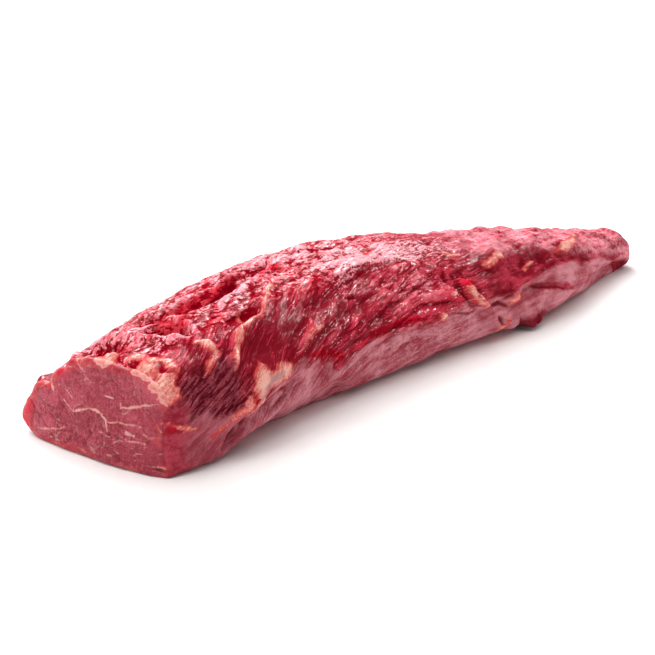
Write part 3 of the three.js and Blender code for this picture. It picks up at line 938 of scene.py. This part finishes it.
def fat_layer(w, g, base):
    """Lumps of fat with torn edges, greyer in the hollow of the big patch."""
    fat = w.field("fat")
    edge = fat + 5.0 * (g.strings - 0.5) + 3.0 * (g.specks - 0.5)
    mottle = 7.0 * (w.grain(g.place, (190, 190, 190), 4.0, 0.6) + g.fine - 1.0)
    # Painted shade: creases and the valleys between threads make the fat thinner and more orange.
    depth = fat + mottle + 1.5 * g.crease - 2.0 * (1 - g.threads) + 6.0 * g.dust
    tint = w.blend(w.ramp(w.field("grey"), -1.6, 1.6, 0.0, 0.75), fat_colour(w, depth), FAT_GREY)
    return w.blend(w.ramp(edge, -0.9, 1.1), base, tint)


def skin_material():
    """Muscle, then film with painted glints, membrane, red tears, fat and slits darkened with painted shade,
    in that order, under juice.
    """
    w = Wiring("meat_skin")
    g = skin_grain(w)
    base = membrane_layer(w, g, film_layer(w, g, muscle_layer(w, g)))
    # The cut's colour carried onto the skin round the near corner, darker as painted shade.
    base = w.blend(w.field("cut"), base, shaded_cut_colour(w, g.place))
    torn = w.ramp(w.field("red") + 1.5 * (g.specks + g.strings), 0.6, 3.4, 0.0, 0.8)
    base = fat_layer(w, g, w.blend(torn, base, g.vivid))
    # Painted shade: the slits are darkened almost to black.
    base = w.blend(w.ramp(w.field("slit"), -0.8, 1.2, 0.0, 0.9), base, SLIT_SHADE)
    relief = (1.2 * g.bundles + 0.4 * g.threads + 0.4 * g.specks) * w.field("rough")
    swells = w.grain(g.fibres, (50, 130, 6), 1.0, 0.5)
    return w.shade({
        "Base Color": base, "Roughness": 0.45, "IOR": 1.35, "Specular IOR Level": 0.0,
        "Subsurface Weight": 0.35, "Subsurface Radius": (1.0, 0.22, 0.2), "Subsurface Scale": 0.003,
        "Coat Weight": w.field("wet") * w.ramp(g.threads, 0.0, 0.4, 0.35, 1.0) * (1 - 0.8 * g.blush),
        "Coat Roughness": 0.09, "Coat IOR": 1.33,
        "Normal": w.bump(relief, 0.0006), "Coat Normal": w.bump(0.16 * relief + swells, 0.0024)})


# %% [markdown]
# ## The skin as a mesh
#
# The shader needs a few more fields: where the juice lies, where painted shade makes
# the meat darker and duller, where its tone is lifted or lowered, and where a painted
# sheen makes the top paler. Then the grid closes on itself round the girth. The tail
# ends in a single point, and the cut end is closed by a hidden fan just behind the cut
# face, which is a piece of its own with a finer grid.

# %% Fields that only the shader reads
OUTSIDE = -5.0  # a field's value well outside every zone
HIDDEN_DEPTH = 2.0  # how far behind the rim the hidden fan has its middle


def film_field(painted_sheen):
    """How much pale film lies on the skin: most on the top and under the painted sheen, in patches on the
    tail.
    """
    top = 0.16 + 0.42 * smooth_step(X, 60, -60) + 0.5 * painted_sheen
    top = TOP * (top + 0.1 * hump((X + 10) / 130) * smooth_step(34 - W, 0, 22))
    patchy = 0.26 + 0.5 * smooth_step(layered(X / 12, W / 8, 33, 5), -0.35, 0.45)
    tail = TAIL * smooth_step(38 - W, 0, 18) * (1 - 0.8 * FAR_SIDE) * patchy
    lips = along(0.5, 7, (-160, 13), (-140, 5), (-110, -2), (-92, 0), (-80, 4))
    head = oval(0.3, (-222, 10), 28, 36) + oval(0.25, (-172, 22), 40, 18)
    return np.clip(top + tail + lips + head + mound(0.34, (-34, 50), 46, 16), 0, 1)


def painted_shade_field():
    """Painted shade: darker, duller meat on the head's side near the cut, on the knob, on the tail's side
    and on all the far side.
    """
    head = smooth_step(-X + 6 * layered(X / 14, W / 10, 39), 182, 206) * smooth_step(W, 44, 56)
    tail = 0.45 * TAIL * smooth_step(W, 18, 36) * (1 - MEMBRANE)
    return np.maximum(head + 0.2 * KNOB + tail, 0.75 * FAR_SIDE)


def lift_field():
    """Added to the tone: fresher strands in the middle, darker meat on the mid side and the knob, and
    painted shade on the head's side beside the fat band.
    """
    fresher = mound(0.25, (-34, 52), 50, 18) + mound(0.24, (-36, 68), 36, 14) + mound(0.45, (-4, 60), 46, 16)
    darker = mound(0.12, (-98, 64), 60, 26) + 0.15 * KNOB
    # Painted shade: the head's side beside the fat band is made darker.
    darker += 0.28 * smooth_step(-X, 125, 150) * smooth_step(X, -194, -180) * smooth_step(W, 34, 46)
    return fresher - darker


def wet_field(film):
    """Where juice lies: on strands and film, but not in slits, tears or on the tail."""
    juice = smooth_step(layered(ALONG / 9, ACROSS / 6, 91), -0.25, 0.2)
    wet = 0.15 + 0.85 * (1 - MEMBRANE) * juice - 0.1 * MEMBRANE + 0.3 * film
    wet = wet * (1 - 0.8 * smooth_step(SLIT, -1.2, 0.2)) * (1 - 0.8 * COMBED) + 0.4 * FATTY
    wet = wet * (0.1 + 0.9 * smooth_step(CREASE, -0.35, 0.25)) * (1 - 0.9 * smooth_step(RED, 0, 2))
    return np.clip(wet, 0, 1) * (1 - 0.88 * TAIL)


def skin_fields():
    """All that the skin carries at each grid point, by the names that the shader reads."""
    # Painted sheen: a paler band along the middle of the top, where the light glances off the wet meat.
    painted_sheen = TOP * hump((X + 45) / 100) * hump((W - 23 + 13 * layered(X / 16, W / 8, 45, 5)) / 19)
    film = film_field(painted_sheen)
    crumpled = np.clip(TOP * smooth_step(-X, -20, 130) * smooth_step(45 - W, 0, 14) + 0.3 * TAIL, 0, 1)
    cut = smooth_step(-X + 4 * layered(X / 9, W / 9, 97), 228, 241) * smooth_step(W, 54, 66)
    grey = union(stroke(2.4, (-182, 78), (-174, 74.5), (-163, 74)),
                 stroke(1.2, (-189, 84), (-181, 80.5), (-169, 78)))
    rough = np.clip(1 - 0.7 * MEMBRANE - 0.3 * FATTY - 0.3 * COMBED - 0.6 * TAIL, 0.15, 1)
    return {
        "fat": FAT_EDGE, "red": RED, "slit": SLIT, "grey": grey, "membrane": MEMBRANE, "cut": cut,
        "film": film, "painted_sheen": painted_sheen, "wet": wet_field(film), "crease": CREASE, "soft": 0.6 * TAIL,
        "painted_shade": painted_shade_field(), "lift": lift_field(), "crumpled": crumpled, "fibrous": 1 - crumpled,
        "blush": TOP * smooth_step(-X, 70, 110) * smooth_step(W, -14, 10),
        # where bright dashes are painted on as glints
        "dash": np.clip(0.5 * (1 - MEMBRANE) * (1 - COMBED) + 0.1 - 0.5 * TAIL, 0, 1),
        "rough": rough * (1 - 0.8 * cut) * (1 - 0.6 * smooth_step(RED, -1, 2))}


# %% Build the skin
def build_skin():
    """The body of the meat: grid, tip and hidden end."""
    rows, columns = skin.shape[:2]
    tip = [TAIL_X, float(CREST(TAIL_X)), TIP_LEVEL * float(NEAR_LEVEL(TAIL_X) + FAR_LEVEL(TAIL_X))]
    end = skin[0].mean(axis=0) + np.array([HIDDEN_DEPTH, 0, 0])
    points = np.concatenate([skin.reshape(-1, 3), [tip], [end]])
    faces = [ring_faces(rows, columns), fan_faces((rows - 1) * columns, columns, rows * columns, flip=True),
             fan_faces(0, columns, rows * columns + 1)]
    fields = {name: np.append(value.ravel(), [OUTSIDE, OUTSIDE]) for name, value in skin_fields().items()}
    grain = np.stack([ALONG, ACROSS, np.zeros_like(X)], axis=-1).reshape(-1, 3) * MM
    fields["grain"] = np.concatenate([grain, np.zeros((2, 3))])
    piece = make_piece("meat_skin", points, faces, skin_material(), fields)
    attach(piece, "root")
    return piece


meat = build_skin()
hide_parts("tenderloin")

# %% [markdown]
# ## The cut face
#
# Across the grain the muscle shows its bundles as a mosaic of rounded cells, with
# pale seams of fat between the larger ones. The face is a thin closed slab on the
# end of the body. Its grid runs in rings from the rim to the middle, and its rim is
# the first row of the skin, so the two meet without a gap.

# %% Places on the cut face
FACE_COLUMNS, FACE_RINGS, FACE_CROWDING = 360, 90, 1.1
FACE_MIDDLE = (6.0, 22.0)


def round_the_rim(values):
    """Values on the skin's first ring of points, read at even steps round the rim."""
    closed = np.concatenate([skin[0], skin[0, :1]])
    reach = np.concatenate([[0], np.cumsum(np.linalg.norm(np.diff(closed, axis=0), axis=1))])
    even = np.linspace(0, reach[-1], FACE_COLUMNS, endpoint=False)
    return np.interp(even, reach, np.append(values, values[0]))


def face_grid():
    """Rings of points from the rim inwards: rim plus share times the way to the middle."""
    edge = np.stack([round_the_rim(skin[0, :, k]) for k in range(3)], axis=-1)
    share = np.linspace(0, 1, FACE_RINGS, endpoint=False)[:, None] ** FACE_CROWDING
    y, z = (edge[:, k + 1] + (FACE_MIDDLE[k] - edge[:, k + 1]) * share for k in (0, 1))
    return edge, y, z


edge, FY, FZ = face_grid()
print("cut face, mm wide and high:", round(float(np.ptp(FY))), round(float(np.ptp(FZ))))


# %% The material of the cut face
FACE_ROSE = colour(188, 76, 92)
FACE_DEEP = colour(138, 26, 46)
FACE_PALE = colour(204, 120, 128)
FACE_RED = colour(204, 30, 54)
# the pale of the fat seams, used also for painted glints
FACE_SEAM_AND_GLINT = colour(226, 158, 152)


def cut_muscle(w, place, fine, threads):
    """Rose bundles with pale flecks and painted glints low on the face, redder at the far rim."""
    clouds, dust = w.grain(place, (70, 70, 70)), w.grain(place, (1300, 1300, 1300), 2.0, 0.6) - 0.5
    tone = 0.5 * clouds + 0.8 * threads + 0.4 * fine + w.field("tone") + 0.7 * dust
    base = w.blend(w.ramp(tone, 0.62, 1.06), FACE_DEEP, FACE_ROSE)
    flecks = w.ramp(threads, 0.6, 0.7) * w.ramp(clouds, 0.45, 0.6)
    base = w.blend(0.5 * flecks, base, FACE_PALE)
    # Painted glints: short pale streaks on the lower part of the face.
    glints = w.ramp(w.grain(place, (150, 150, 520), 3.0, 0.6), 0.6, 0.68) * w.field("moist")
    base = w.blend(0.6 * glints, base, FACE_SEAM_AND_GLINT)
    # The face's near corner turns to the darker copy of its rose: painted shade.
    base = w.blend(w.field("near"), base, shaded_cut_colour(w, place))
    return w.blend(w.ramp(w.field("red"), -3.0, 4.0), base, FACE_RED)


def face_material():
    """Muscle cut across the grain, then cracks darkened with painted shade, an orange rim and pale seams of
    fat.
    """
    w = Wiring("cut_face")
    place, fat = w.place(), w.field("fat")
    fine = w.grain(place, (800, 800, 800), 3.0, 0.65)
    threads = w.grain(place, (500, 500, 450), 4.0, 0.65)
    ragged = 1.6 * (fine - 0.5)
    base = cut_muscle(w, place, fine, threads)
    # Painted shade: the cracks and partings are darkened where one bundle parts from the next.
    base = w.blend(w.ramp(w.field("slit") + ragged, -0.5, 0.4, 0.0, 0.75), base, SLIT_SHADE)
    glow = w.ramp(fat + ragged, -2.2, 0.0) * w.field("rim")
    base = w.blend(0.7 * glow, base, FAT_ORANGE)
    depth = fat + 7.0 * (w.grain(place, (190, 190, 190), 4.0, 0.6) + fine - 1.0)
    seams = w.blend(w.ramp(fat, 0.8, 1.6), FACE_SEAM_AND_GLINT, fat_colour(w, depth))
    return w.shade({
        "Base Color": w.blend(w.ramp(fat + ragged, -0.5, 0.4, 0.0, 0.9), base, seams),
        "Roughness": 0.45, "IOR": 1.35, "Specular IOR Level": 0.15,
        "Coat Weight": 0.25, "Coat Roughness": 0.2,
        "Subsurface Weight": 0.1, "Subsurface Radius": (1.0, 0.25, 0.2), "Subsurface Scale": 0.002,
        "Normal": w.bump(fine + threads, 0.0007)})


# %% Seams and cracks of the cut face
def face_distance(path):
    """The distance on the face to a path of (side place, height) pairs, in mm."""
    wobble_y = 0.8 * layered(FY / 5, FZ / 5, 101)
    wobble_z = 0.8 * layered(FY / 5, FZ / 5, 105)
    return nearest_on(path, FY + wobble_y, FZ + wobble_z)[0]


def seam(half_width, *path):
    """A pale seam of fat or a dark crack on the face: thick and thin along its length."""
    return 0.8 * half_width * (1 + 2.4 * layered(FY / 4, FZ / 4, 141)) - face_distance(path)


# Pale seams between the bundles, each placed after one line in the photograph,
# and dark cracks where one bundle parts from the next: (half width, place, place, ...).
FACE_SEAMS = (
    (0.6, (18, 26), (13, 22.6), (7.7, 24.6), (1, 27), (-4, 27.6), (-8.7, 26.2), (-11.7, 23.3),
     (-13, 19)),
    (0.42, (-20, 37), (-21, 32.3), (-27, 33.3), (-35, 36.3), (-44, 39.7)),
    (0.25, (-9.4, 36.2), (-16.5, 35.9)),
    (0.25, (12, 50), (10, 48), (5, 45)),
    (0.2, (17.6, 33.1), (13.6, 29.5)),
    (0.3, (39.5, 6.6), (30, 8.6), (21, 11), (18, 13)),
    (0.3, (-15, 12), (-20.5, 14.7), (-32.5, 17), (-36, 16.5)),
    (0.15, (-13, 23.7), (-22.6, 24.1), (-34, 25)),
    (0.5, (-25, 20.2), (-29.5, 19.7)),
    (0.2, (-35.5, 5.6), (-45.5, 5.1)),
    (0.2, (36, 20), (33, 19)),
    (0.8, (30, 35), (29, 32), (27, 31)))
# The cracks are painted dark, as shade in the gaps between bundles.
FACE_CRACKS = (
    (0.3, (-13, 19), (-16, 15.4), (-16, 13.6), (-11.2, 7)),
    (0.2, (0, 22), (1, 18), (-1, 14)),
    (0.15, (34, 20), (27, 15), (22, 11)),
    (0.15, (18, 26), (22, 19), (26, 12)),
    (0.15, (-34, 25), (-38, 20), (-36, 16)),
    (0.6, (-48, 28.8), (-54, 28.8), (-62, 29.8)),
    (0.5, (-50, 5), (-45, 3.6), (-40, 4)),
    (0.15, (-7, 26), (-3, 16), (4, 8)),
    (0.5, (30, 34), (33, 33)))


def seams(rows):
    """Where any of a table's seams or cracks runs."""
    return union(*(seam(*row) for row in rows))


print("on the cut face:", len(FACE_SEAMS), "seams and", len(FACE_CRACKS), "cracks")


# %% What comes over the rim, and the tone of each bundle
FACE_BUNDLES = 46


def over_the_rim(gap):
    """The skin's own fat where it meets the rim, carried on over it and fading inwards."""
    fat = np.minimum(round_the_rim(FAT_EDGE[1]), 3.5)
    return fat - 0.8 * gap + 2.2 * layered(FY / 4, FZ / 4, 145, 4) - 0.4


def face_tones():
    """Each bundle's own tone, and the dark and pale lines that part it from the next."""
    middles = np.random.default_rng(7).uniform((-60, 0), (55, 56), (FACE_BUNDLES, 2))
    tones = np.random.default_rng(8).uniform(-0.12, 0.12, FACE_BUNDLES)
    y = FY + 3.5 * layered(FY / 9, FZ / 9, 131)
    z = FZ + 3.5 * layered(FY / 9, FZ / 9, 135)
    gaps = np.hypot(y[..., None] - middles[:, 0], (z[..., None] - middles[:, 1]) * 1.3)
    nearest = np.sort(gaps, axis=-1)
    border = nearest[..., 1] - nearest[..., 0]
    parting = 0.5 * layered(FY / 7, FZ / 7, 151) + 0.1 * smooth_step(-FZ, -34, -16) - border / 2
    pale = 0.5 * layered(FY / 8, FZ / 6, 155) - 0.16 - border / 2
    return tones[np.argmin(gaps, axis=-1)] * smooth_step(border, 0, 1.2), parting, pale


# %% Build the cut face
RIM_WIDTH, CORNER_WIDTH, RIM_BLEND = 5.0, 24.0, 8.0
SLAB = 1.5  # how far behind the rim the slab has its back


def face_points(gap, soft, relief):
    """The slab's middle behind, ring behind, front and middle in front, in that order.

    The front swells by the rim's rounding, a quarter of an oval, and by the relief."""
    rounded = np.sqrt(1 - (1 - np.clip(gap / RIM_WIDTH, 0, 1)) ** 2)
    swell = RIM_ROUND * ((1 - soft) * rounded + soft * smooth_step(gap, 0, CORNER_WIDTH))
    plain_x = skewed(np.full(FY.shape, CUT_X), FY, FZ)
    rim_shift = (edge[:, 0] - plain_x[0]) * (1 - smooth_step(gap, 0, RIM_BLEND))
    front_x = plain_x + rim_shift - swell - relief * smooth_step(gap, 0, 4)
    front = np.stack([front_x, FY, FZ], axis=-1).reshape(-1, 3)
    back = np.stack([edge[:, 0] + SLAB, FY[2], FZ[2]], axis=-1)
    middle = [[float(front_x[-1].mean()), *FACE_MIDDLE]]
    return np.concatenate([back.mean(axis=0, keepdims=True), back, front, middle])


def build_face():
    """The cut face: a slab with its relief in front, whose back hides in the body."""
    gap = np.hypot(FY - FY[0], FZ - FZ[0])
    soft = smooth_step(-FY[0], 38, 50) * smooth_step(-FZ[0], -46, -38)
    tone, parting, pale = face_tones()
    fat = union(seams(FACE_SEAMS), over_the_rim(gap), pale)
    cracks = union(seams(FACE_CRACKS), parting)
    red = union(FY - 45 + 4 * layered(FY / 7, FZ / 7, 121), np.minimum(4.5 - gap, (FY - 12) / 4),
                2.0 - np.hypot(FY + 55, FZ - 25.5))
    relief = (0.9 * layered(FY / 12, FZ / 12, 111) + 0.35 * layered(FY / 2.6, FZ / 2.6, 115)
              - 0.6 * smooth_step(cracks, -0.8, 0.4) + 0.3 * smooth_step(fat, -0.6, 0.4))
    points = face_points(gap, soft, relief)
    faces = [fan_faces(1, FACE_COLUMNS, 0, flip=True),
             ring_faces(FACE_RINGS + 1, FACE_COLUMNS, start=1)[:, ::-1],
             fan_faces(1 + FACE_RINGS * FACE_COLUMNS, FACE_COLUMNS, len(points) - 1)]
    # where the face has its painted glints: low down
    moist = smooth_step(-FZ - 0.25 * FY, -24, -10)
    near, rim = soft * (1 - smooth_step(gap, 2, 16)), 1 - smooth_step(gap, 3, 6)
    values = {"fat": (fat, OUTSIDE), "red": (red, OUTSIDE), "slit": (cracks, OUTSIDE), "tone": (tone, 0.0),
              "moist": (moist, 0.0), "near": (near, 0.0), "rim": (rim, 0.0)}
    fields = {name: np.concatenate([np.full(1 + FACE_COLUMNS, hidden), shown.ravel(), [hidden]])
              for name, (shown, hidden) in values.items()}
    piece = make_piece("cut_face", points, faces, face_material(), fields)
    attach(piece, "root")
    return piece


cut_face = build_face()

# %% [markdown]
# ## Light, floor and camera
#
# The meat lies on white, under a large soft light from behind that bleaches the wet
# top edge and another from above. The photograph also has small sharp glints, and no
# light is both large and small, so two small ones add shine and nothing else. The
# sheet glows more the further it is from the meat and turns up at its edges, so that
# it ends in plain white. The camera looks down by 18.5 degrees along the muscle.

# %% Stage
FLOOR_FLAT, FLOOR_EDGE, FLOOR_RISE = 15.0, 17.0, 3.0
FLOOR_WHITE, WHITE = (0.9, 0.885, 0.87, 1), (1, 1, 1, 1)
GLOW_FROM, GLOW_TO, GLOW = 0.25, 1.5, 0.9
SURROUND = 0.12
LENS, SENSOR = 71.45, 36.0
EYE, HEADING, PITCH = (-0.6055, -0.5043, 0.2725), 46.32, 18.5  # metres and degrees
NEAREST, FURTHEST = 0.05, 50.0
# name, place, target, side in metres, power in watts
LIGHTS = (
    ("back_light", (0.5, 1.2, 1.1), (0, 0, 0.03), 1.3, 38),
    ("overhead", (-0.6, 0.4, 2.1), (0, 0, 0), 1.5, 37),
    ("front_high", (0.3, -0.7, 2.0), (0, 0, 0), 1.6, 12),
    ("glint_right", (0.9, -0.1, 0.9), (0, 0, 0.04), 0.3, 18),
    ("glint_top", (0.2, 0.1, 1.3), (0, 0, 0.04), 0.3, 15),
    ("left_light", (-1.4, 0.0, 0.7), (-0.2, 0, 0.03), 0.8, 3.1),
    ("front_fill", (0.4, -1.3, 0.6), (0.0, 0, 0.03), 1.2, 1.6))


def facing(direction):
    """The turn that makes a light or a camera look in a direction."""
    return Vector(direction).to_track_quat("-Z", "Y").to_euler()


def soft_light(name, place, target, size, power):
    """A square area light that looks at a target; a glint light adds shine only."""
    data = bpy.data.lights.new(name, "AREA")
    data.size, data.energy = size, power
    light = added(name, data)
    light.location = place
    light.rotation_euler = facing(Vector(target) - Vector(place))
    light.visible_diffuse = not name.startswith("glint")


def white_floor():
    """A wide matt white sheet under the meat, turned up at its edges as in a studio."""
    corners = [(sx * half, sy * half, z) for half, z in ((FLOOR_FLAT, 0.0), (FLOOR_EDGE, FLOOR_RISE))
               for sx, sy in ((-1, -1), (1, -1), (1, 1), (-1, 1))]
    sides = [(k, (k + 1) % 4, (k + 1) % 4 + 4, k + 4) for k in range(4)]
    mesh = bpy.data.meshes.new("floor")
    mesh.from_pydata(corners, [], [(0, 1, 2, 3)] + sides)
    w = Wiring("white_floor")
    reach = w.node("VectorMath", "Value", {0: w.place()}, operation="LENGTH")
    mesh.materials.append(w.shade({
        "Base Color": FLOOR_WHITE, "Roughness": 0.9, "Emission Color": WHITE,
        "Emission Strength": w.ramp(reach, GLOW_FROM, GLOW_TO, 0.0, GLOW)}))
    added("floor", mesh)


def studio_world():
    """An even, faint white surround."""
    world = bpy.data.worlds.new("studio")
    world.use_nodes = True
    background = world.node_tree.nodes["Background"]
    background.inputs["Color"].default_value = WHITE
    background.inputs["Strength"].default_value = SURROUND
    bpy.context.scene.world = world


def camera():
    """A camera at the photograph's place, in metres from the middle of the footprint."""
    data = bpy.data.cameras.new("camera")
    data.lens, data.sensor_width = LENS, SENSOR
    data.clip_start, data.clip_end = NEAREST, FURTHEST
    eye = added("camera", data)
    eye.location = (EYE[0], EYE[1] + SIDE_SHIFT * MM, EYE[2])
    heading, pitch = np.radians(HEADING), np.radians(PITCH)
    level = np.cos(pitch)
    eye.rotation_euler = facing((np.sin(heading) * level, np.cos(heading) * level, -np.sin(pitch)))
    bpy.context.scene.camera = eye


white_floor()
studio_world()
for light in LIGHTS:
    soft_light(*light)
camera()
bpy.context.scene.view_settings.view_transform = "Standard"
print("lights:", [light[0] for light in LIGHTS])
